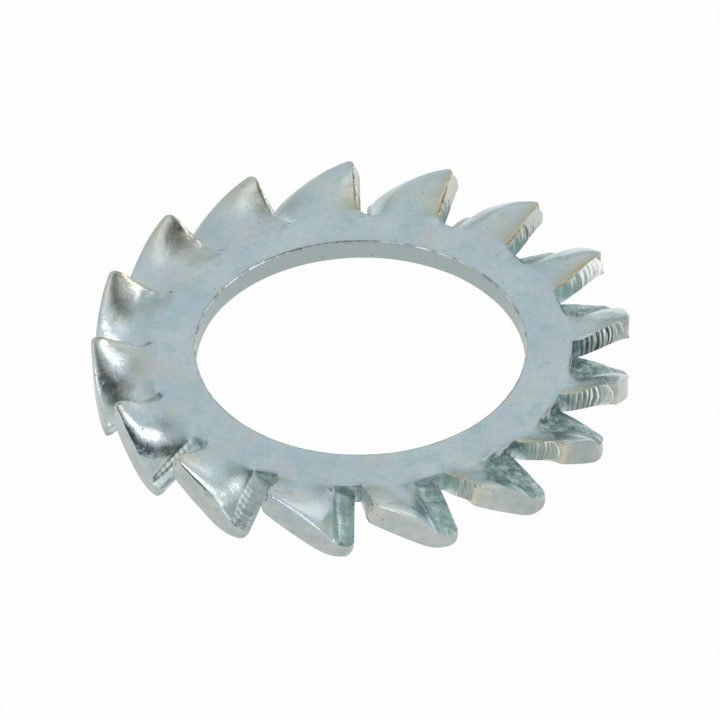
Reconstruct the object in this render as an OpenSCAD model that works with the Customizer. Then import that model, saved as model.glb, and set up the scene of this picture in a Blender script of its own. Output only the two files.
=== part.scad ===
// Toothed lock washer stamped from one sheet: a flat ring with twisted fan teeth round its rim.
// Millimetres. The hole's axis is Z and the middle of the sheet lies on Z = 0.

/* [Ring] */
// Diameter of the bolt hole
bore_d = 10.7; // [9.5:0.1:11.5]
// Width of the ring from the hole to the slot roots
ring_w = 1.53; // [1.1:0.01:1.8]
// Thickness of the sheet
sheet_t = 0.75; // [0.6:0.01:0.9]
// Rounding of the two edges of the hole
bore_round = 0.08; // [0.02:0.01:0.15]

/* [Teeth] */
// Number of teeth round the rim
tooth_count = 16; // [12:1:18]
// Diameter over the tooth tips
tip_d = 17.5; // [16.5:0.1:19]
// Twist of a tooth at its tip, in degrees
twist = 34; // [15:1:36]
// Lift of the whole tooth at its tip
lift = 0.1; // [0:0.05:0.3]
// Bulge of a tooth's top between its raised edge and its bevel, as a share of the fall across it
dome = 0.5; // [0:0.05:0.8]
// Distance inside the slot roots at which the twist begins
twist_lead = 0.3; // [0.1:0.05:0.6]
// Clear gap between neighbouring teeth at the slot root
gap_w = 0.16; // [0.08:0.02:0.3]
// Lean of a tooth's raised top edge toward the middle of the tooth at the tip
top_lean = 0.35; // [0.1:0.05:0.6]
// Lean of the edge under it
under_lean = 0.15; // [0:0.05:0.4]
// Rounding of the raised corner along its top, seen from above
raised_corner = 0.25; // [0.1:0.05:0.4]
// Rounding of the raised corner along its underside
burr_corner = 0.2; // [0.05:0.05:0.3]
// Rounding of the lowered corner, seen from above
lowered_corner = 0.25; // [0.1:0.05:0.4]

/* [Cut edges] */
// Width of the sheared bevel along a tooth's lowered edge
bevel_w = 0.6; // [0.3:0.02:0.7]
// Fall across the bevel at the slot root
bevel_fall_root = 0.36; // [0.2:0.02:0.5]
// Fall across the bevel at the tip
bevel_fall_tip = 0.34; // [0.1:0.02:0.4]
// Width of the rounded nose under the lowered edge
nose_w = 0.4; // [0.15:0.05:0.5]
// Width over which the underside levels out toward the nose
level_w = 0.9; // [0.4:0.05:1.2]
// Depth of the rolled top edge along a tooth's raised side
roll = 0.1; // [0.03:0.01:0.12]
// Width of that rolled edge
roll_w = 0.18; // [0.08:0.02:0.3]
// Length over which it grows, outward from the slot root
roll_grow = 0.25; // [0.1:0.05:0.5]
// Depth of the rolled top edge along the rim
rim_roll = 0.16; // [0.06:0.02:0.24]
// Width of that rolled edge
rim_roll_w = 0.6; // [0.1:0.02:0.8]
// Share of its depth that is left at a tooth's raised side
rim_share = 0.6; // [0.3:0.05:1]

/* [Hidden] */

// Steps of the model: across a tooth and its rolled edge, along a tooth and its rolled rim, from the hole
// to the slot root, round the nose, and round an edge of the hole
across = 7;
edge_steps = 2;
along = 6;
rim_steps = 3;
ring_steps = 3;
nose_steps = 3;
bore_steps = 8;

// Reach of the bore cut past the sheet, softness of the twist's start and end, swell of the raised side
through = 2;
soft_start = 1.3;
soft_end = 1.6;
swell = 3;
quarter = 90;
per_radian = 180 / PI;
crossings = 8;
$fn = 120;

bore_r = bore_d / 2;
root_r = bore_r + ring_w;
tip_r = tip_d / 2;
flat_r = tip_r - rim_roll_w;
bend_r = root_r - twist_lead;
core_r = bore_r - sheet_t / 2;
half_t = sheet_t / 2;
pitch = 360 / tooth_count;

// Points of one tooth section, in order: top row, lowered side, bottom row, raised side
row = across + 1;
loop_n = 2 * row + 2 * nose_steps;
flat_ring = ring_steps + along;
rings = flat_ring + rim_steps;

// 0 to 1 with a short soft start and a longer soft end
function ease(x) = let(c = min(max(x, 0), 1)) 1 - pow(1 - pow(c, soft_start), soft_end);
function mix(a, b, f) = a + (b - a) * f;

// Share of the twist and of the tooth length reached at radius r
function bend(r) = ease((r - bend_r) / (tip_r - bend_r));
function reach(r) = max(0, (r - root_r) / (tip_r - root_r));
function grown(r) = min(1, max(0, r - root_r) / roll_grow);
function slope(r) = tan(twist * bend(r));
function middle_z(r) = lift * bend(r);
function half_rise(r) = half_t / cos(twist * bend(r));

// Positions across a tooth at radius r, measured along the arc from its middle
function side_at(r) = PI * r / tooth_count - gap_w / 2;
function raised_at(r) = top_lean * bend(r) - side_at(r);
function burr_at(r) = under_lean * bend(r) - side_at(r);
function crease_at(r) = side_at(r) - bevel_w;
function nose_at(r) = side_at(r) - nose_w;
function pivot_at(r) = (raised_at(r) + crease_at(r)) / 2;
function top_w(r) = crease_at(r) - raised_at(r);

// Heights of the domed top, the bevel's foot and the underside
function top_z(a, r) =
    let(t = (a - raised_at(r)) / top_w(r))
    middle_z(r) + half_rise(r) + slope(r) * (pivot_at(r) - a + dome * top_w(r) * t * (1 - t));
function foot_z(r) = top_z(crease_at(r), r) - mix(bevel_fall_root, bevel_fall_tip, reach(r));
function under_z(a, r) =
    let(over = max(0, a - nose_at(r) + level_w))
    middle_z(r) - half_rise(r) + slope(r) * (over * over / (2 * level_w) - a + pivot_at(r));

// Distance a rounded corner of radius c stands back from the rim, d from its edge
function stand_back(d, c) = let(e = min(max(c - d, 0), c)) c - sqrt(c * c - e * e);
function lowered_back(a, r) = stand_back(side_at(r) - a, lowered_corner);

// Turn of the rolled edge at top point j, and of the rolled rim at ring number v
function edge_turn(j) = min(quarter, quarter * j / edge_steps);
function rim_turn(v) = max(0, quarter * (v - flat_ring) / rim_steps);

// Section points [position, height, stand-back] at radius r, ring number v
function top_at(j, r) =
    j <= edge_steps ? raised_at(r) + roll_w * (1 - cos(edge_turn(j)))
    : mix(raised_at(r) + roll_w, crease_at(r), (j - edge_steps) / (across - edge_steps));
function top_point(j, r, v) =
    let(
        a = top_at(j, r),
        edge_drop = roll * grown(r) * (1 - sin(edge_turn(j))),
        side_share = (a - raised_at(r)) / (side_at(r) - raised_at(r)),
        rim_drop = rim_roll * mix(rim_share, 1, side_share) * (1 - cos(rim_turn(v)))
    )
    [
        a,
        top_z(a, r) - edge_drop - rim_drop,
        stand_back(a - raised_at(r), raised_corner) + lowered_back(a, r)
    ];
function lowered_point(j, r) =
    let(
        q = quarter * (1 - j / nose_steps),
        a = nose_at(r) + nose_w * sin(q),
        low = under_z(nose_at(r), r)
    )
    [a, mix(low, foot_z(r), 1 - cos(q)), lowered_back(a, r)];
function bottom_point(j, r) =
    let(a = mix(nose_at(r), burr_at(r), j / across))
    [a, under_z(a, r), stand_back(a - burr_at(r), burr_corner) + lowered_back(a, r)];
function raised_point(j, r, v) =
    let(
        share = (j + 1) / (nose_steps + 1),
        low = bottom_point(across, r),
        high = top_point(0, r, v),
        p = mix(low, high, share)
    )
    [p[0], p[1], low[2] * pow(1 - share, swell) + high[2] * pow(share, swell)];
function section_point(i, r, v) =
    i < row ? top_point(i, r, v)
    : i < row + nose_steps ? lowered_point(i - row, r)
    : i < 2 * row + nose_steps ? bottom_point(i - row - nose_steps, r)
    : raised_point(i - 2 * row - nose_steps, r, v);

// Radius of ring number v, and the point in space of tooth k, ring v, section point i
function ring_r(v) =
    v <= 1 ? mix(core_r, bend_r, v)
    : v <= ring_steps ? mix(bend_r, root_r, (v - 1) / (ring_steps - 1))
    : v <= flat_ring ? mix(root_r, flat_r, (v - ring_steps) / along)
    : flat_r + rim_roll_w * sin(rim_turn(v));
function space_point(k, v, i) =
    let(
        r = ring_r(v),
        p = section_point(i, r, v),
        turn = pitch * k + pitch / 2 + p[0] / r * per_radian,
        f = reach(r),
        out = r - f * f * p[2]
    )
    [out * cos(turn), out * sin(turn), p[1]];
function index(k, v, i) = ((k % tooth_count) * (rings + 1) + v) * loop_n + i % loop_n;

// Section numbers: the bottom point under top point j, and the ends of the two sides
function below(j) = row + nose_steps + across - j;
function lowered_end(j) = j == 0 ? across : row + j - 1;
function raised_end(j) = (loop_n - j) % loop_n;

function quad(a, b, c, d) = [[a, b, c], [a, c, d]];
function strip(k, v, i, kn, n) =
    quad(index(k, v, i), index(kn, v, n), index(kn, v + 1, n), index(k, v + 1, i));

tooth_points = [
    for (k = [0:tooth_count - 1], v = [0:rings], i = [0:loop_n - 1])
        space_point(k, v, i)
];

// Ring from the hole to the slot roots, top and underside
ring_faces = [
    for (k = [0:tooth_count - 1], v = [0:ring_steps - 1]) each concat(
        [for (j = [0:across - 1]) each strip(k, v, j, k, j + 1)],
        strip(k, v, across, k + 1, 0),
        [for (j = [0:across - 1]) each strip(k, v, below(j + 1), k, below(j))],
        strip(k + 1, v, below(0), k, below(across))
    )
];

// Inner wall, inside the hole, that the bore cuts away
core_faces = [
    for (k = [0:tooth_count - 1]) each concat(
        [for (j = [0:across - 1]) each quad(
            index(k, 0, j + 1), index(k, 0, j), index(k, 0, below(j)), index(k, 0, below(j + 1)))],
        quad(
            index(k + 1, 0, 0), index(k, 0, across),
            index(k, 0, below(across)), index(k + 1, 0, below(0)))
    )
];

// Teeth from the slot roots to the rim, all round the section
tooth_faces = [
    for (k = [0:tooth_count - 1], v = [ring_steps:rings - 1], i = [0:loop_n - 1])
        each strip(k, v, i, k, (i + 1) % loop_n)
];

// Slot floors between one tooth's lowered side and the next one's raised side
slot_faces = [
    for (k = [0:tooth_count - 1], j = [0:nose_steps]) each quad(
        index(k, ring_steps, lowered_end(j)),
        index(k + 1, ring_steps, raised_end(j)),
        index(k + 1, ring_steps, raised_end(j + 1)),
        index(k, ring_steps, lowered_end(j + 1)))
];

// Outer faces at the rim
rim_faces = [
    for (k = [0:tooth_count - 1]) each concat(
        [for (j = [0:across - 1]) each quad(
            index(k, rings, j), index(k, rings, j + 1),
            index(k, rings, below(j + 1)), index(k, rings, below(j)))],
        [for (j = [1:nose_steps]) [
            index(k, rings, across), index(k, rings, lowered_end(j)), index(k, rings, lowered_end(j + 1))]],
        [for (j = [1:nose_steps]) [
            index(k, rings, 0), index(k, rings, raised_end(j + 1)), index(k, rings, raised_end(j))]]
    )
];

module toothed_disc() {
    polyhedron(
        tooth_points,
        concat(ring_faces, core_faces, tooth_faces, slot_faces, rim_faces),
        convexity = crossings
    );
}

// Bolt hole with its two edges rounded outward
module bore_cut() {
    rolled_edge = [
        for (s = [0:bore_steps])
            let(q = quarter * s / bore_steps)
            [bore_r + bore_round * (1 - cos(q)), half_t - bore_round * (1 - sin(q))]
    ];
    lower_edge = [for (s = [bore_steps:-1:0]) [rolled_edge[s][0], -rolled_edge[s][1]]];
    mouth_r = bore_r + bore_round;
    rotate_extrude()
        polygon(concat(
            [[0, -through], [mouth_r, -through]],
            lower_edge,
            rolled_edge,
            [[mouth_r, through], [0, through]]
        ));
}

module washer() {
    color("LightSteelBlue")
    difference() {
        toothed_disc();
        bore_cut();
    }
}

washer();
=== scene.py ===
"""Looks of a toothed lock washer: twisted teeth, bright zinc plating, white floor and soft studio light."""

import math

import bpy
import numpy as np
from mathutils import Matrix, Vector


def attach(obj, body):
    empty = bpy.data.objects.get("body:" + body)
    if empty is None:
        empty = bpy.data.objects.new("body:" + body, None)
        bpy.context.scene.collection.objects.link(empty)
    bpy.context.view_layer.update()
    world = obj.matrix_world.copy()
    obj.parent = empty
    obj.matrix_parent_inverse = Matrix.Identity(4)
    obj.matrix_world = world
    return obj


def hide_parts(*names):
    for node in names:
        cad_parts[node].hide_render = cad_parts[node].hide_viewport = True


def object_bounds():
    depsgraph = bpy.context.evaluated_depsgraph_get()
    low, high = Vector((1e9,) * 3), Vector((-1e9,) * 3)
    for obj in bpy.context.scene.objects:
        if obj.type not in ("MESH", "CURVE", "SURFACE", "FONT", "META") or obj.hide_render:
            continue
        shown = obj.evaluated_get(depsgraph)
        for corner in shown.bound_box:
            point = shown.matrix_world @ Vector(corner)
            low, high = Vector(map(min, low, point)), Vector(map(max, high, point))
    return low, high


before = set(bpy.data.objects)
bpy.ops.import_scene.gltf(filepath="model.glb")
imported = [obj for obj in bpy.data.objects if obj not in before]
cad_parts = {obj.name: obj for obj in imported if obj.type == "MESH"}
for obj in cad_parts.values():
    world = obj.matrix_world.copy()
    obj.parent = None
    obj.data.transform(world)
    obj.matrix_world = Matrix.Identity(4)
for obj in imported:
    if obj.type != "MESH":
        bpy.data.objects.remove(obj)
cad_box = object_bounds()

MM = 0.001

# Sizes of the stamped washer in millimetres, the same as in the part's source. Only the tips stand a little
# further in, so that the roughened teeth stay inside the part's box.
BORE_R = 5.35
ROOT_R = 6.88
TIP_R = 8.736
BEND_R = 6.58
HALF_T = 0.375
BORE_ROUND = 0.08
TEETH = 16
TWIST = math.radians(34)
GAP_W = 0.16
TOP_LEAN = 0.35
UNDER_LEAN = 0.15
RAISED_CORNER = 0.25
BURR_CORNER = 0.2
LOWERED_CORNER = 0.25
BEVEL_W = 0.6
BEVEL_FALL_ROOT = 0.36
BEVEL_FALL_TIP = 0.34
NOSE_W = 0.4
LEVEL_W = 0.9
LIFT = 0.1
DOME = 0.5
ROLL_W = 0.18
ROLL_D = 0.1
ROLL_GROW = 0.25
RIM_ROLL_W = 0.6
RIM_ROLL_D = 0.16
RAISED_RIM = 0.6
SWELL = 3
SOFT_START = 1.3
SOFT_END = 1.6

# Sizes that only the looks have: the rolled slot root, which runs out over a share of its length, the crease
# above the bevel, and the step under it with its width and fall as shares of the bevel
ROOT_ROLL = 0.1
ROOT_ROLL_END = 0.25
CREASE_ROUND = 0.04
CREASE_ROLL_W = 0.5
CREASE_ROLL_D = 0.07
STEP_W = 0.28
STEP_FALL = 0.55

# Wide bevels, which widen over a share of the tooth's length and have a rounder corner, and narrow bevels
WIDE_ROOT = 1.9
WIDE_TIP = 1.1
WIDE_START = 0.5
WIDE_GROW = 0.25
WIDE_CORNER = 1.0
WIDE_BACK = 0.42
NARROW_W = 0.1

# How far the marks on the sheet reach in millimetres, and how strong they are
CUT_START = 0.1
CUT_AT_EDGE = 0.35
EDGE_REACH_ROOT = 0.48
EDGE_REACH_TIP = 0.14
# Reach of the rubbed edge along the crease, which also carries a painted highlight
RUB_HIGHLIGHT_REACH = 0.07
# Reach, length and least share of the painted shade along the crease, and share and reach of the painted
# shade on the web by the slot root
SHADE_REACH = 0.28
SHADE_LENGTH = 0.6
SHADE_LEAST = 0.3
WEB_SHADE = 0.6
WEB_SHADE_REACH = 0.06
SLOT_WEAR = 0.8
BORE_RUB_HIGHLIGHT_DEPTH = 0.06

# Steps of the fine mesh of one tooth, and the rows of points just inside the slot root
ROLL_STEPS = 4
TOP_STEPS = 16
CREASE_STEPS = 2
BEVEL_STEPS = 8
WEB_STEPS = 8
TOOTH_STEPS = 32
RIM_STEPS = 10
RING_STEPS = 4
WALL_STEPS = 6
BORE_STEPS = 4
ROOT_ROWS = (0.11, 0.06, 0.02)
CREASE = ROLL_STEPS + TOP_STEPS + CREASE_STEPS
CUT_STEPS = 2 * BEVEL_STEPS
PITCH = 2 * math.pi / TEETH
STRIP_BUNCH = 1.3
STRIP = np.linspace(0, 1, BEVEL_STEPS + 1)[1:] ** STRIP_BUNCH
DOWN = np.linspace(0, 1, CUT_STEPS + 1)

MARKS = (
    "radius_mm",
    "cut_share",
    "bevel_share",
    "bend_share",
    "edge_share",
    "depth_share",
    "rub_share",
    "lean_share",
    "root_share",
)
ZONES = ("plate_face", "cut_face", "bevel_face", "rim_face", "bore_face", "slot_face")

# What the teeth round the ring are given
TEETH_INPUTS = {
    "Tooth count": TEETH,
    "Shear depth": 0.11 * MM,
    "Shear lines per mm": 4.2,
    "Dent depth": 0.022 * MM,
    "Edge wear": 0.07 * MM,
    "Twist spread": 0.06,
    "Lean spread": 0.12 * MM,
    "Lean side": math.radians(225),
    "Wide bevel share": 1.0,
    "Wide bevel side": math.radians(-22),
    "Narrow bevel share": 0.9,
    "Narrow bevel side": math.radians(122),
    "Seed": 4,
}
MERGE_DISTANCE = 0.002 * MM
SHARP_ANGLE = math.radians(48)

# How fast the bevels change round the washer, and the noises that roughen the teeth
WIDE_FALLOFF = 4.0
NARROW_GAIN = 1.3
NARROW_START = 0.2
TOOTH_SHIFT = 7.3
SHEAR_DRIFT = 0.6
SHEAR_LEVEL = 0.55
BEVEL_SHEAR = 0.3
DENT_SCALE = 0.75 / MM
NICK_SCALE = 3.2 / MM
NICK_LEVEL = 0.6

# Colours of the plating
BLUE_GREY = (0.53, 0.68, 0.77, 1)
PALE_GREY = (0.67, 0.79, 0.82, 1)
WARM_GREY = (0.70, 0.71, 0.66, 1)
CLOUD_GREY = (0.72, 0.79, 0.79, 1)
LILAC_GREY = (0.66, 0.69, 0.78, 1)
SEA_GREY = (0.50, 0.66, 0.66, 1)
GRAIN_GREY = (0.36, 0.44, 0.47, 1)
STRAW = (0.70, 0.69, 0.57, 1)
# The olive tint is partly painted shade, and the rubbed edge colour is partly a painted highlight
OLIVE_TINT_AND_SHADE = (0.56, 0.55, 0.42, 1)
BROWN_EDGE = (0.54, 0.46, 0.24, 1)
RUB_HIGHLIGHT_COLOUR = (0.97, 0.97, 0.93, 1)
DULL_BORE_EDGE = (0.17, 0.20, 0.18, 1)
# Painted shade on the lower ends of the far teeth, on the tops at the right, and along the creases by the
# slot roots
LOW_END_SHADE_PAINT = (0.30, 0.37, 0.37, 1)
TOP_SHADE = (0.80, 0.84, 0.84, 1)
ROOT_SHADE_PAINT = (0.20, 0.27, 0.29, 1)
PIT = (0.16, 0.20, 0.21, 1)

# Colours of the sheared sides, painted darker as shade on the far and rightmost teeth, and the painted shade
# and highlight of their lines
CUT_ROOT = (0.57, 0.79, 0.78, 1)
RIGHT_CUT_ROOT_SHADE = (0.25, 0.38, 0.38, 1)
CUT_TIP = (0.97, 0.99, 0.94, 1)
CUT_TIP_NEAR = (1.0, 0.97, 0.89, 1)
FAR_CUT_TIP_SHADE = (0.60, 0.63, 0.58, 1)
RIGHT_CUT_TIP_SHADE = (0.70, 0.73, 0.69, 1)
LINE_SHADE = (0.09, 0.15, 0.15, 1)
LINE_HIGHLIGHT = (0.93, 0.95, 0.93, 1)
# Painted shade in the torn crevices and painted glints on the torn specks
CUT_CREVICE_SHADE = (0.17, 0.27, 0.27, 1)
TORN_GLINT = (0.95, 0.98, 0.97, 1)

# Colours of the bevels, painted darker as shade on some sides and lighter on one tooth, with ticks in painted
# highlight and shade
PALE_STRIP = ((0.52, 0.63, 0.64, 1), (0.68, 0.76, 0.76, 1))
SHADED_STRIP = ((0.29, 0.42, 0.42, 1), (0.55, 0.69, 0.68, 1))
TORN_STRIP = ((0.21, 0.33, 0.32, 1), (0.68, 0.84, 0.82, 1))
# Painted glints on the torn bevels
TORN_FLECK_GLINT = (0.98, 1.0, 0.99, 1)
TICK_HIGHLIGHT = (0.90, 0.93, 0.92, 1)
TICK_SHADE = (0.14, 0.21, 0.21, 1)
FAR_STRIP_SHADE = (0.42, 0.50, 0.52, 1)
STRIP_SHADE = (0.82, 0.84, 0.84, 1)
STRIP_LIGHT = (1.25, 1.25, 1.25, 1)
NEAR_STRIP_SHADE = (0.78, 0.82, 0.83, 1)

# Colours of the rim, the hole and the slot roots
RIM = ((0.35, 0.41, 0.40, 1), (0.46, 0.48, 0.45, 1))
# Painted shade on the rims away from the near side and at the right
RIM_SHADE = (0.79, 0.80, 0.76, 1)
RIGHT_RIM_SHADE = (0.85, 0.88, 0.91, 1)
RIM_GOLD = (0.62, 0.57, 0.41, 1)
BORE_WALL = (0.33, 0.39, 0.38, 1)
SLOT_ROOT = ((0.22, 0.32, 0.32, 1), (0.68, 0.77, 0.75, 1))
SLOT_CREVICE_SHADE = (0.09, 0.14, 0.14, 1)

RELIEF_DEPTH = 0.02 * MM

# The white floor, in metres
FLOOR_R = 0.9
FLOOR_SIDES = 64
FLOOR_GAP = 0.001 * MM
FLOOR_PAINT = (0.85, 0.85, 0.85, 1)
FLOOR_WHITE = (1, 1, 1, 1)
FLOOR_SHOWN = 0.97

# The studio: its walls, and soft boxes between two directions (azimuth, elevation) with width and strength
WALLS = (0.73, 0.75, 0.75, 1)
LEFT_WALL = (0.64, 0.68, 0.68, 1)
BRIGHT_WALL = (1.1, 1.1, 1.07, 1)
DIM_WALL = (0.34, 0.36, 0.31, 1)
LOW_CORNER = (0.34, 0.42, 0.41, 1)
DIM_CEILING = (0.26, 0.27, 0.25, 1)
DARK_HOOD = (0.04, 0.045, 0.04, 1)
SOFT_BOX_DISTANCE = 0.40
SOFT_BOXES = (
    ("right soft box", (6, 42), (33, 58), 0.08, 2.0),
    ("low soft box", (-45, 18), (0, 39), 0.06, 1.6),
    ("left soft box", (-137, 46), (-143, 62), 0.07, 1.9),
)

# The camera, with its distance and the shift of its aim in millimetres
CAMERA_WAY = (-88.6, 40.31)
CAMERA_ROLL = math.radians(-0.753)
CAMERA_DISTANCE = 152.9
CAMERA_SHIFT = (-0.021, -0.5, 0)
LENS = 235.3
SENSOR = 36


def mix(a, b, f):
    """From a to b by the share f."""
    return a + (b - a) * f


def ease(x):
    """0 to 1 with a short soft start and a longer soft end."""
    c = np.clip(x, 0, 1)
    return 1 - (1 - c**SOFT_START) ** SOFT_END


def smooth(x):
    """0 to 1 with a soft start and end."""
    c = np.clip(x, 0, 1)
    return c * c * (3 - 2 * c)


def stand_back(d, c):
    """How far a rounded corner of radius c stands back from the rim, d from its edge."""
    e = np.clip(c - d, 0, c)
    return c - np.sqrt(c * c - e * e)


def toward(azimuth, elevation):
    """Direction from the washer, azimuth counter-clockwise from +X, in degrees."""
    a, e = math.radians(azimuth), math.radians(elevation)
    return Vector((math.cos(a) * math.cos(e), math.sin(a) * math.cos(e), math.sin(e)))


class Section:
    """The section of one tooth at radius r: positions along the arc from its middle, and heights."""

    def __init__(self, r, bevel):
        self.r = r
        self.bend = float(ease((r - BEND_R) / (TIP_R - BEND_R)))
        self.reach = max(0.0, (r - ROOT_R) / (TIP_R - ROOT_R))
        self.slope = math.tan(TWIST * self.bend)
        self.half_rise = HALF_T / math.cos(TWIST * self.bend)
        self.middle = LIFT * self.bend
        self.side = math.pi * r / TEETH - GAP_W / 2
        self.raised = TOP_LEAN * self.bend - self.side
        self.burr = UNDER_LEAN * self.bend - self.side
        plain_edge = self.side - BEVEL_W
        self.edge = self.side - NARROW_W if bevel == "narrow" else plain_edge
        self.top_middle = self.middle - self.slope * (self.edge - plain_edge) / 2
        self.crease = self.edge
        self.wide = bevel == "wide"
        if self.wide:
            lost = WIDE_START * (1 - float(smooth(self.reach / WIDE_GROW)))
            wide_w = mix(WIDE_ROOT, WIDE_TIP, self.reach) - lost
            self.crease = self.side - mix(BEVEL_W, wide_w, float(smooth((r - BEND_R) / (ROOT_R - BEND_R))))
        self.nose = self.side - NOSE_W
        self.pivot = (self.raised + plain_edge) / 2
        self.grown = float(smooth((r - ROOT_R) / ROLL_GROW))
        bevel_fall = mix(BEVEL_FALL_ROOT, BEVEL_FALL_TIP, self.reach)
        fall = self.slope * (plain_edge - self.raised) / 2 + bevel_fall
        self.foot = self.middle + self.half_rise - fall
        if bevel == "narrow":
            rolled = min(1.0, max(0.0, (r - TIP_R) / RIM_ROLL_W + 1))
            self.foot -= CREASE_ROLL_D * self.grown + RIM_ROLL_D * (1 - math.sqrt(1 - rolled**2))

    def top_z(self, a):
        """Height of the domed top, which falls slowly by the raised edge and faster by the crease."""
        width = self.edge - self.raised
        t = (a - self.raised) / width
        return self.top_middle + self.half_rise + self.slope * width * (0.5 - t - DOME * (t * t - t))

    def under_z(self, a):
        """Height of the underside, which levels out toward the nose."""
        over = np.maximum(0, a - self.nose + LEVEL_W)
        return self.middle - self.half_rise + self.slope * (over * over / (2 * LEVEL_W) - a + self.pivot)

    def lowered_back(self, a):
        """How far the lowered corner stands back from the rim."""
        if self.wide:
            return stand_back(self.side - a, WIDE_CORNER) * WIDE_BACK / WIDE_CORNER
        return stand_back(self.side - a, LOWERED_CORNER)

    def top_row(self, rim_drop):
        """Top of the tooth from its raised edge to the bevel's foot, as position, height and stand-back."""
        q = np.linspace(0, math.pi / 2, ROLL_STEPS + 1)
        rolled = self.raised + ROLL_W * (1 - np.cos(q))
        spread = 0.5 - 0.5 * np.cos(math.pi * np.linspace(0, 1, TOP_STEPS + 1)[1:])
        plain = mix(self.raised + ROLL_W, self.crease - 2 * CREASE_ROUND, spread)
        crisp = np.array([self.crease - CREASE_ROUND, self.crease])
        strip = mix(self.crease, self.side, STRIP)
        a = np.concatenate([rolled, plain, crisp, strip])
        shelf = np.maximum(0, STRIP - STEP_W) / (1 - STEP_W)
        stepped = STEP_FALL * smooth(STRIP / STEP_W) + (1 - STEP_FALL) * shelf
        fallen = np.concatenate([np.zeros(CREASE + 1), stepped])
        z = mix(self.top_z(np.minimum(a, self.crease)), self.foot, fallen)
        z[: ROLL_STEPS + 1] -= self.grown * ROLL_D * (1 - np.sin(q))
        curled = np.clip((a - self.crease) / CREASE_ROLL_W + 1, 0, 1)
        z -= self.grown * CREASE_ROLL_D * curled**2 * (1 - fallen)
        z -= rim_drop * (1 - fallen) * mix(RAISED_RIM, 1, (a - self.raised) / (self.side - self.raised))
        back = stand_back(a - self.raised, RAISED_CORNER) + self.lowered_back(a)
        return np.stack([a, z, back], axis=1)

    def under_row(self):
        """Underside from the burr edge to the bevel's foot."""
        plain = mix(self.burr, self.nose, np.linspace(0, 1, CREASE + 1))
        q = np.linspace(0, math.pi / 2, BEVEL_STEPS + 1)[1:]
        nose = self.nose + NOSE_W * np.sin(q)
        low = self.under_z(np.array(self.nose))
        a = np.concatenate([plain, nose])
        z = np.concatenate([self.under_z(plain), mix(low, self.foot, 1 - np.cos(q))])
        back = stand_back(a - self.burr, BURR_CORNER) + self.lowered_back(a)
        return np.stack([a, z, back], axis=1)

    def cut_column(self, top, low):
        """The sheared side under the raised edge, from the edge down."""
        column = mix(top[None, :], low[None, :], DOWN[:, None])
        column[:, 2] = low[2] * DOWN**SWELL + top[2] * (1 - DOWN) ** SWELL
        return column

    def web_row(self, under, drop):
        """The sheet inside the slot root, from this tooth's lowered side to the next one's raised side."""
        gap = PITCH * self.r
        if under:
            a0, a1 = self.nose, gap + self.burr
            z0, z1 = self.under_z(np.array(self.nose)), self.under_z(np.array(self.burr))
            s0, s1 = 0.0, -self.slope
        else:
            a0, a1 = self.crease, gap + self.raised
            z0, z1 = self.top_z(self.crease), self.top_z(self.raised) - self.grown * ROLL_D
            s0, s1 = -self.slope * (1 + DOME), -self.slope * (1 - DOME)
        f = np.linspace(0, 1, WEB_STEPS + 1)[1:]
        z = hermite(z0, z1, s0 * (a1 - a0), s1 * (a1 - a0), f)
        z -= drop * np.minimum(1, np.minimum(f, 1 - f) / ROOT_ROLL_END)
        return np.stack([mix(a0, a1, f), z, np.zeros(WEB_STEPS)], axis=1)

    def in_space(self, rows):
        """Points in space from rows of position, height and stand-back."""
        turn = PITCH / 2 + rows[:, 0] / self.r
        out = self.r - self.reach**2 * rows[:, 2]
        return np.stack([out * np.cos(turn), out * np.sin(turn), rows[:, 1]], axis=1)


def hermite(z0, z1, s0, s1, f):
    """A smooth rise from z0 to z1 that leaves and meets them at the given slopes."""
    f2, f3 = f * f, f * f * f
    return (2 * f3 - 3 * f2 + 1) * z0 + (f3 - 2 * f2 + f) * s0 + (3 * f2 - 2 * f3) * z1 + (f3 - f2) * s1


def turned(points, angle):
    """Points turned round the hole's axis."""
    c, s = math.cos(angle), math.sin(angle)
    x, y = points[:, 0], points[:, 1]
    return np.stack([c * x - s * y, s * x + c * y, points[:, 2]], axis=1)


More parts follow.
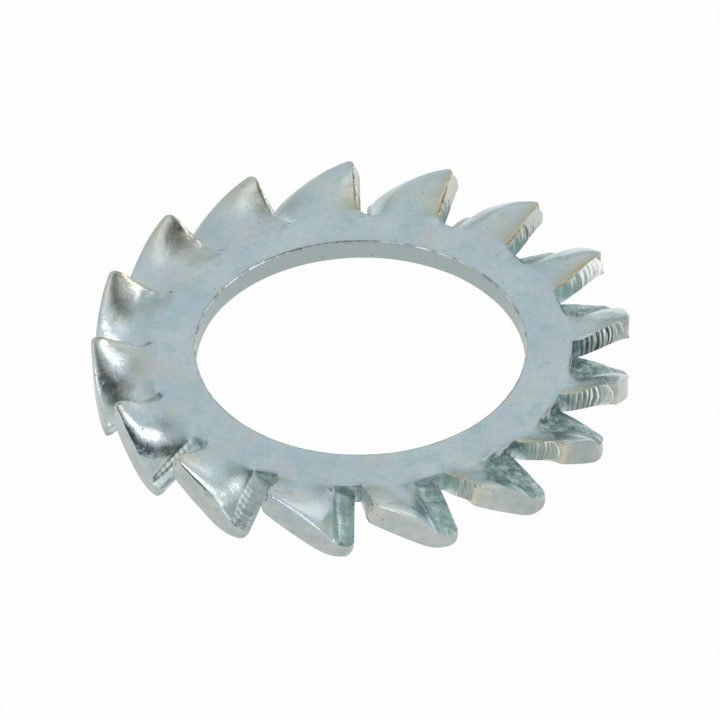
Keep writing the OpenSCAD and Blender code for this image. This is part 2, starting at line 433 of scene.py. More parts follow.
class ToothSector:
    """One tooth with its share of the ring, up to the next tooth's raised edge: points, marks and faces.

    The bevel along its lowered edge is plain, wide or narrow.
    """

    def __init__(self, bevel):
        self.points, self.marks, self.faces, self.zones = [], [], [], []
        self.count = 0
        self.bevel = bevel
        self.add_tooth()
        self.add_rim()
        self.add_ring()
        self.add_slot_floor()
        self.add_bore_wall()

    def add(self, points, **marks):
        """Adds points with their marks and gives back their numbers."""
        points = np.asarray(points, float)
        table = np.zeros((len(points), len(MARKS)))
        for name, value in marks.items():
            table[:, MARKS.index(name)] = value
        self.points.append(points)
        self.marks.append(table)
        start = self.count
        self.count += len(points)
        return np.arange(start, self.count)

    def grid(self, index, zone, flip=False):
        """Faces over a table of point numbers; rows run outward or down, columns counter-clockwise."""
        index = np.asarray(index)
        for u in range(index.shape[0] - 1):
            for c in range(index.shape[1] - 1):
                face = [index[u, c], index[u + 1, c], index[u + 1, c + 1], index[u, c + 1]]
                face = [int(p) for p in (face[::-1] if flip else face)]
                kept = [p for n, p in enumerate(face) if p not in face[:n]]
                if len(kept) > 2:
                    self.faces.append(kept)
                    self.zones.append(ZONES.index(zone))

    def add_tooth(self):
        """Top, underside and sheared side of the tooth, outward from the slot root."""
        q = np.linspace(0, math.pi / 2, RIM_STEPS + 1)[1:]
        flat_r = TIP_R - RIM_ROLL_W
        plain_r = np.linspace(ROOT_R, flat_r, TOOTH_STEPS + 1)
        radii = np.concatenate([plain_r, flat_r + RIM_ROLL_W * np.sin(q)])
        drops = np.concatenate([np.zeros(TOOTH_STEPS + 1), RIM_ROLL_D * (1 - np.cos(q))])
        strip = np.concatenate([np.zeros(CREASE + 1), STRIP])

        top, under, cut = [], [], []
        for r, drop in zip(radii, drops):
            s = Section(r, self.bevel)
            upper, lower = s.top_row(drop), s.under_row()
            inside = min(1.0, (r - ROOT_R) / CUT_START)
            from_edge = np.maximum(0, upper[:, 0] - s.raised)
            from_crease = np.abs(upper[:, 0] - s.crease)
            edge = np.exp(-from_edge / mix(EDGE_REACH_ROOT, EDGE_REACH_TIP, s.reach)) * inside
            # Rubbed metal with a painted highlight along the crease
            rub = np.exp(-from_crease / RUB_HIGHLIGHT_REACH) * inside
            # Painted shade along the crease, strongest by the slot root
            shade = np.exp(-from_crease / SHADE_REACH) * inside
            shade *= mix(SHADE_LEAST, 1.0, math.exp(-(((r - ROOT_R) / SHADE_LENGTH) ** 2)))
            cut_here = np.where(np.arange(len(upper)) == 0, CUT_AT_EDGE, 0.0) * inside
            leaning = np.clip((s.crease - upper[:, 0]) / (s.crease - s.raised), 0, 1) * s.bend
            leaning_low = np.clip((s.nose - lower[:, 0]) / (s.nose - s.burr), 0, 1) * s.bend
            row = self.add(
                s.in_space(upper),
                lean_share=leaning,
                radius_mm=r,
                bend_share=s.bend,
                edge_share=edge,
                bevel_share=strip,
                cut_share=cut_here,
                rub_share=rub,
                root_share=shade,
            )
            low = self.add(
                s.in_space(lower)[:-1],
                radius_mm=r,
                bend_share=s.bend,
                depth_share=1,
                cut_share=cut_here[:-1],
                lean_share=leaning_low[:-1],
            )
            low = np.append(low, row[-1])
            wall = self.add(
                s.in_space(s.cut_column(upper[0], lower[0]))[1:-1],
                radius_mm=r,
                bend_share=s.bend,
                cut_share=inside,
                depth_share=DOWN[1:-1],
                lean_share=s.bend,
            )
            top.append(row)
            under.append(low)
            cut.append(np.concatenate([row[:1], wall, low[:1]]))
        self.top, self.under, self.cut = np.array(top), np.array(under), np.array(cut)
        self.tip_leaning = leaning, leaning_low
        self.grid(self.top[:, : CREASE + 1], "plate_face")
        self.grid(self.top[:, CREASE:], "bevel_face")
        self.grid(self.under, "plate_face", flip=True)
        self.grid(self.cut, "cut_face", flip=True)

    def add_rim(self):
        """Outer face of the tooth, from its top edge down."""
        points = np.concatenate(self.points)
        top, under = self.top[-1], self.under[-1]
        outer = [top]
        for n in range(1, CUT_STEPS):
            between = mix(points[top], points[under], DOWN[n])[1:-1]
            leaning = mix(*self.tip_leaning, DOWN[n])[1:-1]
            inner = self.add(between, radius_mm=TIP_R, bend_share=1, depth_share=DOWN[n], lean_share=leaning)
            outer.append(np.concatenate([self.cut[-1, n : n + 1], inner, top[-1:]]))
        outer.append(under)
        self.grid(np.array(outer), "rim_face")

    def add_ring(self):
        """Top and underside of the ring, from the hole to the slot root."""
        flat = np.linspace(BORE_R + BORE_ROUND, BEND_R, RING_STEPS + 1)
        bent = np.linspace(BEND_R, ROOT_R - ROOT_ROWS[0], RING_STEPS + 1)[1:]
        last = ROOT_R - np.array(ROOT_ROWS[1:])
        upper_rows, lower_rows = [], []
        for r in np.concatenate([flat, bent, last]):
            s = Section(r, self.bevel)
            drop = stand_back(ROOT_R - r, ROOT_ROLL)
            upper = np.concatenate([s.top_row(0)[: CREASE + 1], s.web_row(False, drop)])
            lower = np.concatenate([s.under_row()[: CREASE + 1], s.web_row(True, 0)])
            # Painted shade on the web just inside the slot root
            web_shade = np.full(WEB_STEPS, WEB_SHADE * math.exp((r - ROOT_R) / WEB_SHADE_REACH))
            shade = np.concatenate([np.zeros(CREASE + 1), web_shade])
            upper_rows.append(self.add(s.in_space(upper), radius_mm=r, bend_share=s.bend, root_share=shade))
            lower_rows.append(self.add(s.in_space(lower), radius_mm=r, bend_share=s.bend, depth_share=1))
        s = Section(ROOT_R, self.bevel)
        at_root = {"radius_mm": ROOT_R, "bend_share": s.bend}
        self.web_top = self.add(s.in_space(s.web_row(False, ROOT_ROLL)), root_share=WEB_SHADE, **at_root)
        self.web_low = self.add(s.in_space(s.web_row(True, 0)), depth_share=1, **at_root)
        upper_rows.append(np.concatenate([self.top[0, : CREASE + 1], self.web_top]))
        lower_rows.append(np.concatenate([self.under[0, : CREASE + 1], self.web_low]))
        self.grid(np.array(upper_rows), "plate_face")
        self.grid(np.array(lower_rows), "plate_face", flip=True)
        self.bore_top, self.bore_low = upper_rows[0], lower_rows[0]

    def add_slot_floor(self):
        """The slot root, from this tooth's bevel and nose to the next tooth's sheared side."""
        points = np.concatenate(self.points)
        left = np.concatenate([self.top[0, CREASE:], self.under[0, CREASE:-1][::-1]])
        right = turned(points[self.cut[0]], PITCH)
        marks = {"radius_mm": ROOT_R, "bend_share": Section(ROOT_R, self.bevel).bend, "edge_share": SLOT_WEAR}
        floor = [left]
        for n in range(1, WEB_STEPS + 1):
            between = mix(points[left], right, n / WEB_STEPS)[1:-1]
            inner = self.add(between, depth_share=DOWN[1:-1], **marks)
            floor.append(np.concatenate([self.web_top[n - 1 : n], inner, self.web_low[n - 1 : n]]))
        self.grid(np.array(floor).T, "slot_face")

    def add_bore_wall(self):
        """Wall of the hole with its two rounded edges."""
        q = np.linspace(math.pi / 2, 0, BORE_STEPS + 1)[1:]
        edge_r = BORE_R + BORE_ROUND * (1 - np.cos(q))
        edge_z = HALF_T - BORE_ROUND * (1 - np.sin(q))
        straight = np.linspace(edge_z[-1], -edge_z[-1], WALL_STEPS + 1)[1:-1]
        wall_r = np.concatenate([edge_r, np.full(WALL_STEPS - 1, BORE_R), edge_r[::-1]])
        wall_z = np.concatenate([edge_z, straight, -edge_z[::-1]])
        points = np.concatenate(self.points)
        upper, lower = points[self.bore_top], points[self.bore_low]
        turn_up, turn_low = np.arctan2(upper[:, 1], upper[:, 0]), np.arctan2(lower[:, 1], lower[:, 0])
        wall = [self.bore_top]
        for r, z in zip(wall_r, wall_z):
            depth = (HALF_T - z) / (2 * HALF_T)
            turn = mix(turn_up, turn_low, depth)
            ring = np.stack([r * np.cos(turn), r * np.sin(turn), np.full(len(turn), z)], axis=1)
            # Rubbed metal with a painted highlight at the hole's top edge
            rub = math.exp(-depth / BORE_RUB_HIGHLIGHT_DEPTH)
            wall.append(self.add(ring, radius_mm=r, depth_share=depth, rub_share=rub))
        wall.append(self.bore_low)
        self.grid(np.array(wall), "bore_face", flip=True)

    def to_mesh(self, name, **others):
        """The sector as a mesh, which also keeps the way from each point to its place in the others."""
        points = np.concatenate(self.points)
        mesh = bpy.data.meshes.new(name)
        mesh.from_pydata(points * MM, [], self.faces)
        for way, other in others.items():
            moved = (np.concatenate(other.points) - points) * MM
            layer = mesh.attributes.new(way, "FLOAT_VECTOR", "POINT")
            layer.data.foreach_set("vector", moved.astype(np.float32).ravel())
        marks = np.concatenate(self.marks)
        for n, mark in enumerate(MARKS):
            layer = mesh.attributes.new(mark, "FLOAT", "POINT")
            layer.data.foreach_set("value", np.ascontiguousarray(marks[:, n], np.float32))
        zones = np.array(self.zones)
        for n, zone in enumerate(ZONES):
            layer = mesh.attributes.new(zone, "FLOAT", "FACE")
            layer.data.foreach_set("value", (zones == n).astype(np.float32))
        return mesh


class Nodes:
    """Adds nodes to a tree and gives back their outputs. An input takes a value or another node's output."""

    def __init__(self, tree):
        self.tree = tree

    def add(self, kind, inputs=None, output=0, **settings):
        node = self.tree.nodes.new(kind)
        for name, value in settings.items():
            setattr(node, name, value)
        for socket, value in (inputs or {}).items():
            if isinstance(value, bpy.types.NodeSocket):
                self.tree.links.new(value, node.inputs[socket])
            else:
                node.inputs[socket].default_value = value
        return node.outputs[output] if node.outputs else None

    def calc(self, operation, *values, **settings):
        return self.add("ShaderNodeMath", dict(enumerate(values)), operation=operation, **settings)

    def times(self, first, *others):
        for other in others:
            first = self.calc("MULTIPLY", first, other)
        return first

    def most(self, first, *others):
        for other in others:
            first = self.calc("MAXIMUM", first, other)
        return first

    def gain(self, value, factor, base):
        """The base with the value times the factor added to it."""
        return self.calc("MULTIPLY_ADD", value, factor, base)

    def span(self, value, low, high, to_low=0.0, to_high=1.0):
        """Maps a range of a value to another, kept inside it."""
        return self.add("ShaderNodeMapRange", {0: value, 1: low, 2: high, 3: to_low, 4: to_high})

    def xyz(self, x=0.0, y=0.0, z=0.0):
        return self.add("ShaderNodeCombineXYZ", {"X": x, "Y": y, "Z": z})

    def scaled(self, vector, factor):
        return self.add("ShaderNodeVectorMath", {0: vector, "Scale": factor}, operation="SCALE")

    def along(self, vector, direction):
        """How far the vector reaches along a direction."""
        return self.add("ShaderNodeVectorMath", {0: vector, 1: direction}, "Value", operation="DOT_PRODUCT")

    def within(self, way, direction, outer, inner):
        """1 where the way is within inner degrees of a direction, falling to 0 at outer."""
        lean = self.along(way, direction)
        return self.span(lean, math.cos(math.radians(outer)), math.cos(math.radians(inner)))

    def noise(self, vector, scale, detail=2.0, roughness=0.5):
        inputs = {"Vector": vector, "Scale": scale, "Detail": detail, "Roughness": roughness}
        return self.add("ShaderNodeTexNoise", inputs)

    def blend(self, factor, a, b, kind="MIX"):
        """Mixes two colours."""
        inputs = {0: factor, 6: a, 7: b}
        return self.add("ShaderNodeMix", inputs, 2, data_type="RGBA", blend_type=kind)


def teeth_tree(zinc):
    """Sets the tooth sector round the ring, joins the sectors, and roughens the sheared sides and edges."""
    tree = bpy.data.node_groups.new("teeth round the ring", "GeometryNodeTree")
    tree.is_modifier = True
    tree.interface.new_socket("Sector", in_out="INPUT", socket_type="NodeSocketGeometry")
    for name, value in TEETH_INPUTS.items():
        kind = "NodeSocketInt" if isinstance(value, int) else "NodeSocketFloat"
        tree.interface.new_socket(name, in_out="INPUT", socket_type=kind).default_value = value
    tree.interface.new_socket("Washer", in_out="OUTPUT", socket_type="NodeSocketGeometry")
    given = tree.nodes.new("NodeGroupInput").outputs
    nodes = Nodes(tree)

    def mark(name, kind="FLOAT"):
        return nodes.add("GeometryNodeInputNamedAttribute", {"Name": name}, "Attribute", data_type=kind)

    def from_side(side):
        """1 on the named side of the washer and -1 on the other, tooth by tooth."""
        return nodes.calc("COSINE", nodes.calc("SUBTRACT", angle, given[side]))

    def shifted(geometry, offset):
        return nodes.add("GeometryNodeSetPosition", {"Geometry": geometry, "Offset": offset})

    number = nodes.add("GeometryNodeInputIndex")
    step = nodes.calc("DIVIDE", 2 * math.pi, given["Tooth count"])
    places = nodes.add("GeometryNodePoints", {"Count": given["Tooth count"]})
    turn = nodes.xyz(z=nodes.times(number, step))
    teeth = {"Points": places, "Instance": given["Sector"], "Rotation": turn}
    teeth = nodes.add("GeometryNodeInstanceOnPoints", teeth)
    teeth = nodes.add(
        "GeometryNodeStoreNamedAttribute",
        {"Geometry": teeth, "Name": "tooth_number", "Value": number},
        data_type="FLOAT",
        domain="INSTANCE",
    )
    teeth = nodes.add("GeometryNodeRealizeInstances", {"Geometry": teeth})
    washer = nodes.add("GeometryNodeMergeByDistance", {"Geometry": teeth, "Distance": MERGE_DISTANCE})
    place = nodes.add("GeometryNodeInputPosition")
    normal = nodes.add("GeometryNodeInputNormal")
    tooth_turn = nodes.times(mark("tooth_number"), step)
    angle = nodes.gain(step, 0.5, tooth_turn)

    # The bevels are wide on one side of the washer and narrow on another
    wide = nodes.calc("POWER", nodes.gain(from_side("Wide bevel side"), 0.5, 0.5), WIDE_FALLOFF)
    narrow = from_side("Narrow bevel side")
    narrow = nodes.calc("MULTIPLY_ADD", narrow, NARROW_GAIN, NARROW_START, use_clamp=True)
    for way, share, most in (
        ("wider_by", wide, "Wide bevel share"),
        ("narrower_by", narrow, "Narrow bevel share"),
    ):
        share = nodes.times(share, given[most])
        moved = {"Vector": mark(way, "FLOAT_VECTOR"), "Angle": tooth_turn}
        moved = nodes.add("ShaderNodeVectorRotate", moved, rotation_type="Z_AXIS")
        washer = shifted(washer, nodes.scaled(moved, share))

    # Each tooth is twisted a little less than the full twist, by its own share
    own = {"ID": mark("tooth_number"), "Seed": given["Seed"]}
    less = nodes.add("FunctionNodeRandomValue", own, 1, data_type="FLOAT")
    less = nodes.times(less, given["Twist spread"], mark("bend_share"))
    rise = nodes.add("ShaderNodeSeparateXYZ", {0: place}, "Z")
    washer = shifted(washer, nodes.xyz(z=nodes.times(rise, less, -1.0)))

    # The raised sides lean in more on one side of the washer, because the shear sat a little off its middle
    lean = nodes.times(from_side("Lean side"), given["Lean spread"], mark("lean_share"))
    round_way = nodes.xyz(nodes.times(nodes.calc("SINE", angle), -1.0), nodes.calc("COSINE", angle))
    washer = shifted(washer, nodes.scaled(round_way, lean))

    # Shear lines run down the cut sides, so they change with the radius and from tooth to tooth
    lines = nodes.xyz(
        nodes.times(mark("radius_mm"), given["Shear lines per mm"]),
        nodes.times(mark("tooth_number"), TOOTH_SHIFT),
        nodes.times(mark("depth_share"), SHEAR_DRIFT),
    )
    shear = nodes.calc("SUBTRACT", nodes.noise(lines, 1.0, 2.0, 0.6), SHEAR_LEVEL)
    share = nodes.calc("MINIMUM", nodes.gain(mark("bevel_share"), BEVEL_SHEAR, mark("cut_share")), 1.0)
    shear = nodes.times(shear, given["Shear depth"], share)

    # Slow dents all over, and small nicks along the raised edges
    dent = nodes.calc("SUBTRACT", nodes.noise(place, DENT_SCALE, 1.0), 0.5)
    dent = nodes.times(dent, given["Dent depth"])
    nick = nodes.calc("SUBTRACT", nodes.noise(place, NICK_SCALE, 2.0), NICK_LEVEL)
    nick = nodes.times(nick, given["Edge wear"], mark("edge_share"))
    move = nodes.calc("ADD", nodes.calc("ADD", shear, dent), nick)
    washer = shifted(washer, nodes.scaled(normal, move))
    washer = nodes.add("GeometryNodeSetShadeSmooth", {"Geometry": washer})
    washer = nodes.add("GeometryNodeSetMaterial", {"Geometry": washer, "Material": zinc})
    nodes.add("NodeGroupOutput", {"Washer": washer})
    return tree


def stamped_washer(zinc):
    """The washer's visible piece, made by the tree from one tooth sector and turned into a plain mesh."""
    wide, narrow = ToothSector("wide"), ToothSector("narrow")
    sector = ToothSector("plain").to_mesh("tooth sector", wider_by=wide, narrower_by=narrow)
    maker = bpy.data.objects.new("tooth sector", sector)
    bpy.context.scene.collection.objects.link(maker)
    tree = teeth_tree(zinc)
    modifier = maker.modifiers.new("teeth", "NODES")
    modifier.node_group = tree
    for socket in tree.interface.items_tree:
        if socket.name in TEETH_INPUTS:
            modifier[socket.identifier] = TEETH_INPUTS[socket.name]
    graph = bpy.context.evaluated_depsgraph_get()
    evaluated = maker.evaluated_get(graph)
    made = bpy.data.meshes.new_from_object(evaluated, preserve_all_data_layers=True, depsgraph=graph)
    made.name = "stamped_washer"
    bpy.data.objects.remove(maker)
    made.set_sharp_from_angle(angle=SHARP_ANGLE)
    piece = bpy.data.objects.new("stamped_washer", made)
    bpy.context.scene.collection.objects.link(piece)
    return piece


def new_material(name):
    material = bpy.data.materials.new(name)
    material.use_nodes = True
    material.node_tree.nodes.clear()
    return material


class Plating(Nodes):
    """Nodes of the zinc plating, with the marks, noises and sides of the washer that its layers share."""

    def __init__(self, tree):
        super().__init__(tree)
        self.spot = self.scaled(self.add("ShaderNodeTexCoord", output="Object"), 1 / MM)
        flat = self.add("ShaderNodeVectorMath", {0: self.spot, 1: (1, 1, 0)}, operation="MULTIPLY")
        self.flat_way = self.add("ShaderNodeVectorMath", {0: flat}, operation="NORMALIZE")

        self.cut, self.bevel, self.rim = self.mark("cut_face"), self.mark("bevel_face"), self.mark("rim_face")
        self.bore, self.slot = self.mark("bore_face"), self.mark("slot_face")
        self.bend, self.lean = self.mark("bend_share"), self.mark("lean_share")
        self.rub, self.depth = self.mark("rub_share"), self.mark("depth_share")
        self.radius = self.mark("radius_mm")

        self.clouds = self.noise(self.spot, 2.2, 4.0, 0.6)
        self.grain = self.noise(self.spot, 14.0, 4.0, 0.65)
        self.torn = self.noise(self.spot, 3.2, 6.0, 0.72)
        self.row = self.times(self.radius, 6.0)
        self.tooth = self.times(self.mark("tooth_number"), 5.7)
        self.streak = self.noise(self.xyz(self.row, self.tooth, self.times(self.depth, 0.7)), 1.0, 2.0, 0.6)
        self.ticks = self.calc("SINE", self.gain(self.radius, 36.0, self.times(self.streak, 9.0)))

        self.far_side = self.on_side(125, 1.0, 5.0)
        self.torn_side = self.on_side(-8, 6.2, 7.4)
        self.torn_strips = self.on_side(-20, 4.0, 6.5)
        self.rightmost = self.facing(1, 20, 8)

        # Painted shade along the creases, strongest where the bevels meet the slot roots and stronger on one
        # tooth; where the cut sides have lines, and where they are torn
        root_shade = self.times(self.mark("root_share"), self.span(self.clouds, 0.3, 0.55, 0.6, 1.0))
        root_shade = self.times(root_shade, self.span(self.far_side, 0.0, 1.0, 0.9, 0.2))
        stronger = self.span(self.facing(-118, 20, 12), 0.0, 1.0, 1.0, 2.2)
        self.root_shade = self.calc("MULTIPLY", root_shade, stronger, use_clamp=True)
        self.lined = self.times(self.span(self.radius, 6.95, 7.25), self.span(self.radius, 8.45, 8.15))
        torn_root = self.times(self.span(self.radius, 7.45, 7.0), self.on_side(-20, 5.0, 6.6))
        # Painted shade in the torn crevices and painted glints on the torn specks
        self.crevice_shade = self.times(torn_root, self.span(self.torn, 0.50, 0.42))
        self.glint_speck = self.times(torn_root, self.span(self.torn, 0.56, 0.60))

        # Pits, and smudges drawn out along the sheet
        drawn = {"Vector": self.spot, "Rotation": (0, 0, 0.35), "Scale": (1.6, 4.5, 3.0)}
        smudged = self.span(self.noise(self.add("ShaderNodeMapping", drawn), 0.8, 3.0, 0.65), 0.68, 0.80)
        pitted = self.span(self.noise(self.spot, 5.5, 2.0, 0.7), 0.69, 0.74)
        self.marked = self.most(pitted, self.times(smudged, 0.8))

        # Sheared metal is rougher than the plate
        self.sheared = self.most(self.cut, self.slot, self.times(self.rim, 0.3), self.times(self.bevel, 0.8))

    def mark(self, name):
        return self.add("ShaderNodeAttribute", output="Fac", attribute_name=name)

    def on_side(self, azimuth, low, high):
        """0 to 1 across the washer along a direction, between two distances from its axis in millimetres."""
        return self.span(self.along(self.spot, toward(azimuth, 0)), low, high)

    def facing(self, azimuth, outer, inner):
        """1 within inner degrees of a direction round the washer, falling to 0 at outer."""
        return self.within(self.flat_way, toward(azimuth, 0), outer, inner)

    def plate_colour(self):
        """Blue-grey plating with paler, bluer and warmer patches and a fine grain."""
        patches = self.noise(self.spot, 0.45, 3.0, 0.55)
        warm = self.noise(self.spot, 0.7, 3.0, 0.6)
        lilac = self.noise(self.spot, 1.3, 3.0, 0.55)
        colour = self.blend(self.span(patches, 0.36, 0.64), BLUE_GREY, PALE_GREY)
        colour = self.blend(self.span(warm, 0.52, 0.66, 0.0, 0.75), colour, WARM_GREY)
        colour = self.blend(self.span(self.clouds, 0.42, 0.72, 0.0, 0.6), colour, CLOUD_GREY)
        colour = self.blend(self.span(lilac, 0.53, 0.66, 0.0, 0.75), colour, LILAC_GREY)
        colour = self.blend(self.span(lilac, 0.46, 0.34, 0.0, 0.65), colour, SEA_GREY)
        return self.blend(self.span(self.grain, 0.35, 0.6, 0.28, 0.0), colour, GRAIN_GREY)

    def tint_bends(self, colour):
        """Straw tints on the bends, an olive tint on the raised halves at one side that is partly painted
        shade, brown raised edges, and rubbed edges: bright as rubbed metal and painted highlight along the
        creases and the hole's top edge, and dull in broken spots by the hole.
        """
        tint = self.noise(self.spot, 0.9, 2.0)
        straw = self.times(self.span(tint, 0.42, 0.7, 0.0, 0.5), self.span(self.bend, 0.1, 0.9))
        colour = self.blend(straw, colour, STRAW)
        # Olive tint, partly painted shade, on the raised halves at one side
        olive_and_shade = self.times(self.on_side(148, 6.0, 7.3), self.span(self.lean, 0.3, 0.65, 0.0, 0.5))
        colour = self.blend(olive_and_shade, colour, OLIVE_TINT_AND_SHADE)
        gold_side = self.most(self.on_side(55, 4.0, 7.0), self.times(self.on_side(-62, 4.5, 7.0), 0.6))
        browner = self.gain(gold_side, 0.55, self.span(tint, 0.35, 0.65, 0.1, 0.4))
        browned = self.times(self.span(self.mark("edge_share"), 0.05, 0.9), browner)
        colour = self.blend(browned, colour, BROWN_EDGE)
        # Rubbed metal and painted highlight along the near creases and the hole's top edge
        rub_highlight_side = self.most(self.bore, self.span(self.far_side, 0.0, 1.0, 1.0, 0.0))
        rub_highlight_mask = self.times(self.rub, rub_highlight_side, self.span(self.clouds, 0.4, 0.55))
        colour = self.blend(rub_highlight_mask, colour, RUB_HIGHLIGHT_COLOUR)
        broken = self.noise(self.spot, 1.6, 4.0, 0.7)
        darkened = self.times(self.rub, self.bore, self.span(broken, 0.52, 0.44))
        return self.blend(darkened, colour, DULL_BORE_EDGE)

    def shade_tops(self, colour):
        """Painted shade on the lower ends of the far teeth, on the tops at the right, and along the creases
        by the slot roots.
        """
        up_slope = self.calc("DIVIDE", self.lean, self.most(self.bend, 0.01))
        # Painted shade on the lower ends of the far teeth
        lower_end = self.times(self.span(up_slope, 0.42, 0.05), self.span(self.bend, 0.3, 0.8, 0.0, 0.9))
        lower_end = self.times(lower_end, self.on_side(75, 4.0, 6.5))
        colour = self.blend(lower_end, colour, LOW_END_SHADE_PAINT)
        # Painted shade on the tops at the right
        darker = self.times(self.on_side(-24, 6.5, 7.4), self.span(self.bend, 0.15, 0.7))
        colour = self.blend(darker, colour, TOP_SHADE, "MULTIPLY")
        return self.blend(self.root_shade, colour, ROOT_SHADE_PAINT)

    def cut_colour(self):
        """Sheared sides: teal by the slot root, pale toward the tip and painted darker as shade on the far
        and rightmost teeth, with lines from top to bottom in painted shade and highlight that are strong on
        the teeth of one side, and torn by the slot roots there with painted shade in the crevices and painted
        glints on the specks."""
        tip = self.blend(self.on_side(-70, 4.5, 6.5), CUT_TIP, CUT_TIP_NEAR)
        # Painted shade on the cut sides of the far and rightmost teeth
        tip = self.blend(self.facing(70, 40, 26), tip, FAR_CUT_TIP_SHADE)
        tip = self.blend(self.rightmost, tip, RIGHT_CUT_TIP_SHADE)
        root = self.blend(self.rightmost, CUT_ROOT, RIGHT_CUT_ROOT_SHADE)
        paled = self.span(self.radius, 6.9, self.span(self.torn_side, 0.0, 1.0, 7.9, 7.4))
        colour = self.blend(paled, root, tip)
        # Painted shade along the shear lines, strongest on the rightmost teeth
        dark = self.most(self.rightmost, self.times(self.facing(-24, 14, 7), 0.4))
        dark = self.times(self.lined, self.span(dark, 0.0, 1.0, 0.05, 0.9))
        colour = self.blend(self.times(self.span(self.ticks, -0.1, -0.7), dark), colour, LINE_SHADE)
        # Painted highlights along the shear lines, strongest on the torn side
        bright = self.times(self.lined, self.span(self.torn_side, 0.0, 1.0, 0.06, 1.0))
        bright = self.times(self.span(self.ticks, 0.2, 0.8), bright)
        bright = self.times(bright, self.span(self.depth, 0.45, 0.8, 1.0, 0.2))
        colour = self.blend(bright, colour, LINE_HIGHLIGHT)
        colour = self.blend(self.crevice_shade, colour, CUT_CREVICE_SHADE)
        return self.blend(self.glint_speck, colour, TORN_GLINT)

    def bevel_colour(self):
        """A shelf drawn out along the tooth under a short step with ticks across it in painted highlight and
        shade. The shelf is painted darker as shade on two sides of the washer, where it is torn instead on
        the teeth that have torn strips, painted darker still on the far side, on two more sides and on the
        near teeth, and painted lighter on one tooth."""
        across = self.mark("bevel_share")
        drawn = self.xyz(self.times(across, 4.0), self.tooth, self.times(self.row, 0.25))
        drawn = self.span(self.noise(drawn, 1.0, 3.0, 0.6), 0.36, 0.64)
        torn = self.blend(self.span(self.torn, 0.40, 0.60), *TORN_STRIP)
        torn = self.blend(self.span(self.torn, 0.575, 0.625), torn, TORN_FLECK_GLINT)
        # Painted shade on the strips of two sides, or torn strips there
        darkened = self.blend(self.torn_strips, self.blend(drawn, *SHADED_STRIP), torn)
        shaded_strip_side = self.most(self.on_side(-30, -1.0, 6.0), self.on_side(40, 2.0, 6.0))
        colour = self.blend(shaded_strip_side, self.blend(drawn, *PALE_STRIP), darkened)
        # Ticks across the step in painted highlight and shade
        ticking = self.most(self.on_side(-135, 6.5, 7.4), self.times(self.torn_side, 0.6))
        ticking = self.times(self.span(across, 0.3, 0.42, 1.0, 0.0), self.span(ticking, 0.0, 1.0, 0.15, 1.0))
        wave = self.calc("SINE", self.gain(self.radius, 32.0, self.times(self.streak, 5.0)))
        ticked = self.times(ticking, wave)
        colour = self.blend(self.span(ticked, 0.05, 0.8, 0.0, 0.5), colour, TICK_HIGHLIGHT)
        colour = self.blend(self.span(ticked, -0.05, -0.8, 0.0, 0.25), colour, TICK_SHADE)
        # Painted shade on the far strips, on two more sides and on the near teeth, and painted light on one
        # tooth
        colour = self.blend(self.span(self.far_side, 0.0, 1.0, 0.0, 0.85), colour, FAR_STRIP_SHADE)
        shaded = self.most(self.on_side(5, 4.5, 6.2), self.on_side(60, 4.5, 6.5))
        colour = self.blend(shaded, colour, STRIP_SHADE, "MULTIPLY")
        colour = self.blend(self.facing(-140, 17, 9), colour, STRIP_LIGHT, "MULTIPLY")
        return self.blend(self.facing(-94, 16, 9), colour, NEAR_STRIP_SHADE, "MULTIPLY")

    def paint_rim(self, colour):
        """Mottled rim, painted darker as shade away from the near side and at the right, with gold corners at
        the lower right.
        """
        outer = self.blend(self.span(self.clouds, 0.4, 0.62), *RIM)
        outer = self.blend(self.on_side(-100, 6.5, 4.0), outer, RIM_SHADE, "MULTIPLY")
        outer = self.blend(self.on_side(-20, 6.9, 8.2), outer, RIGHT_RIM_SHADE, "MULTIPLY")
        colour = self.blend(self.times(self.rim, 0.85), colour, outer)
        corner = self.times(self.span(self.lean, 0.7, 0.95), self.on_side(-45, 5.5, 7.5))
        corner = self.times(corner, self.span(self.clouds, 0.4, 0.6, 0.25, 0.75))
        return self.blend(self.times(self.rim, corner), colour, RIM_GOLD)

    def paint_hole_and_slots(self, colour):
        """Darker wall of the hole, and rough dark slot roots with painted shade in their crevices and painted
        glints on their specks.
        """
        wall = self.times(self.bore, self.span(self.rub, 0.2, 0.6, 0.88, 0.2))
        colour = self.blend(wall, colour, BORE_WALL)
        root = self.blend(self.span(self.torn, 0.40, 0.66), *SLOT_ROOT)
        root = self.blend(self.crevice_shade, root, SLOT_CREVICE_SHADE)
        root = self.blend(self.glint_speck, root, TORN_GLINT)
        return self.blend(self.times(self.slot, 0.9), colour, root)

    def colour(self):
        colour = self.shade_tops(self.tint_bends(self.plate_colour()))
        colour = self.blend(self.cut, colour, self.cut_colour())
        bevel = self.times(self.bevel, self.span(self.far_side, 0.0, 1.0, 1.0, 0.75))
        colour = self.blend(bevel, colour, self.bevel_colour())
        colour = self.paint_hole_and_slots(self.paint_rim(colour))
        return self.blend(self.times(self.marked, 0.65), colour, PIT)

    def roughness(self):
        """Satin on the flat, glossier on the bends, rough on the cuts."""
        rough = self.span(self.bend, 0.15, 0.75, 0.36, 0.17)
        rough = self.gain(self.on_side(150, 6.6, 7.8), 0.03, rough)
        rough = self.gain(self.facing(-170, 16, 9), 0.04, rough)
        rough = self.gain(self.calc("SUBTRACT", self.clouds, 0.5), 0.25, rough)
        rough = self.gain(self.sheared, 0.14, rough)
        rough = self.gain(self.root_shade, 0.2, rough)
        rough = self.gain(self.rub, -0.14, rough)
        return self.most(rough, 0.12)

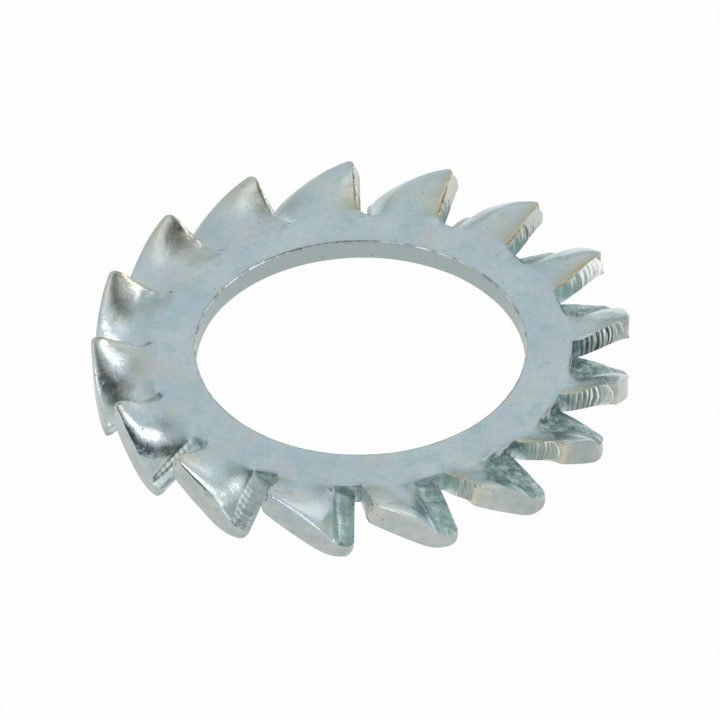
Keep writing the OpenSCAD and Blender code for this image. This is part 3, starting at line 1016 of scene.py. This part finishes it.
    def relief(self):
        """Fine grain over slow waves, pits, lines on the cuts, and torn slot roots and bevels."""
        height = self.gain(self.grain, 0.12, self.times(self.noise(self.spot, 3.0, 2.0), 0.6))
        height = self.gain(self.marked, -0.5, height)
        height = self.gain(self.times(self.streak, self.sheared), 1.4, height)
        combed = self.times(self.cut, self.lined, self.on_side(-16, 6.0, 7.0))
        height = self.gain(self.times(combed, self.ticks), 0.7, height)
        ripped = self.most(self.slot, self.times(self.bevel, self.torn_strips))
        height = self.gain(self.times(self.torn, ripped), 5.0, height)
        return self.add("ShaderNodeBump", {"Height": height, "Strength": 1.0, "Distance": RELIEF_DEPTH})


def zinc_plate():
    """Bright zinc plating: satin and faintly mottled when flat, glossier and tinted where it was bent."""
    material = new_material("zinc_plate")
    plating = Plating(material.node_tree)
    surface = {
        "Base Color": plating.colour(),
        "Metallic": 1.0,
        "Roughness": plating.roughness(),
        "Normal": plating.relief(),
    }
    plate = plating.add("ShaderNodeBsdfPrincipled", surface)
    plating.add("ShaderNodeOutputMaterial", {"Surface": plate})
    return material


def white_floor(height):
    """A large white floor that shows white and keeps a faint shadow."""
    material = new_material("white_floor")
    path = material.node_tree.nodes.new("ShaderNodeLightPath").outputs
    nodes = Nodes(material.node_tree)
    seen = nodes.most(path["Is Camera Ray"], path["Is Glossy Ray"], path["Is Transmission Ray"])
    paint = nodes.add("ShaderNodeBsdfDiffuse", {"Color": FLOOR_PAINT})
    white = nodes.add("ShaderNodeEmission", {"Color": FLOOR_WHITE, "Strength": 1.0})
    shown = nodes.add("ShaderNodeMixShader", {0: nodes.times(seen, FLOOR_SHOWN), 1: paint, 2: white})
    nodes.add("ShaderNodeOutputMaterial", {"Surface": shown})
    turns = [2 * math.pi * n / FLOOR_SIDES for n in range(FLOOR_SIDES)]
    rim = [(FLOOR_R * math.cos(turn), FLOOR_R * math.sin(turn), height) for turn in turns]
    mesh = bpy.data.meshes.new("floor")
    mesh.from_pydata(rim, [], [list(range(FLOOR_SIDES))])
    mesh.materials.append(material)
    floor = bpy.data.objects.new("floor", mesh)
    bpy.context.scene.collection.objects.link(floor)


def soft_box(name, start, end, width, strength):
    """A long area lamp that faces the washer, between two directions, and shines at the given strength."""
    first, last = toward(*start), toward(*end)
    way = (first + last).normalized()
    along = (last - first - way * (last - first).dot(way)).normalized()
    turn = Matrix((along, way.cross(along), way)).transposed()
    lamp = bpy.data.lights.new(name, "AREA")
    lamp.shape = "RECTANGLE"
    lamp.size, lamp.size_y = (last - first).length * SOFT_BOX_DISTANCE, width
    lamp.energy = strength * math.pi * lamp.size * lamp.size_y
    holder = bpy.data.objects.new(name, lamp)
    holder.matrix_world = Matrix.Translation(way * SOFT_BOX_DISTANCE) @ turn.to_4x4()
    bpy.context.scene.collection.objects.link(holder)


def studio_light():
    """A pale room with a few bright and dark patches for the metal to reflect, and three soft boxes."""
    world = bpy.data.worlds.new("studio")
    bpy.context.scene.world = world
    world.use_nodes = True
    world.node_tree.nodes.clear()
    nodes = Nodes(world.node_tree)
    way = nodes.add("ShaderNodeTexCoord", output="Generated")

    def near_to(azimuth, elevation, outer, inner):
        return nodes.within(way, toward(azimuth, elevation), outer, inner)

    bright = nodes.most(near_to(-168, 74, 12, 4), near_to(46, 16, 15, 5))
    hood = nodes.most(near_to(-80, 63, 15, 8), near_to(-54, 66, 16, 9), near_to(-28, 59, 14, 7))
    room = WALLS
    for patch, colour in (
        (near_to(135, 35, 36, 10), LEFT_WALL),
        (bright, BRIGHT_WALL),
        (near_to(60, 53, 18, 7), DIM_WALL),
        (near_to(97, -5, 23, 8), LOW_CORNER),
        (near_to(0, 81, 15, 5), DIM_CEILING),
        (hood, DARK_HOOD),
    ):
        room = nodes.blend(patch, room, colour)
    room = nodes.add("ShaderNodeBackground", {"Color": room, "Strength": 1.0})
    nodes.add("ShaderNodeOutputWorld", {"Surface": room})
    for box in SOFT_BOXES:
        soft_box(*box)


def photo_camera():
    """Camera at the photograph's place: 40 degrees above the floor, a long lens, and a slight roll."""
    lens = bpy.data.cameras.new("camera")
    lens.sensor_width = SENSOR
    lens.lens = LENS
    lens.clip_start, lens.clip_end = 0.01, 3
    camera = bpy.data.objects.new("camera", lens)
    bpy.context.scene.collection.objects.link(camera)
    way = toward(*CAMERA_WAY)
    turn = way.to_track_quat("Z", "Y").to_matrix() @ Matrix.Rotation(CAMERA_ROLL, 3, "Z")
    aim = Vector((0, 0, HALF_T * MM)) + turn @ Vector(CAMERA_SHIFT) * MM
    camera.matrix_world = Matrix.Translation(aim + way * CAMERA_DISTANCE * MM) @ turn.to_4x4()
    bpy.context.scene.camera = camera


zinc = zinc_plate()
washer = stamped_washer(zinc)
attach(washer, "root")
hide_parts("washer")
white_floor(cad_box[0].z - FLOOR_GAP)
studio_light()
photo_camera()
bpy.context.scene.view_settings.view_transform = "Standard"
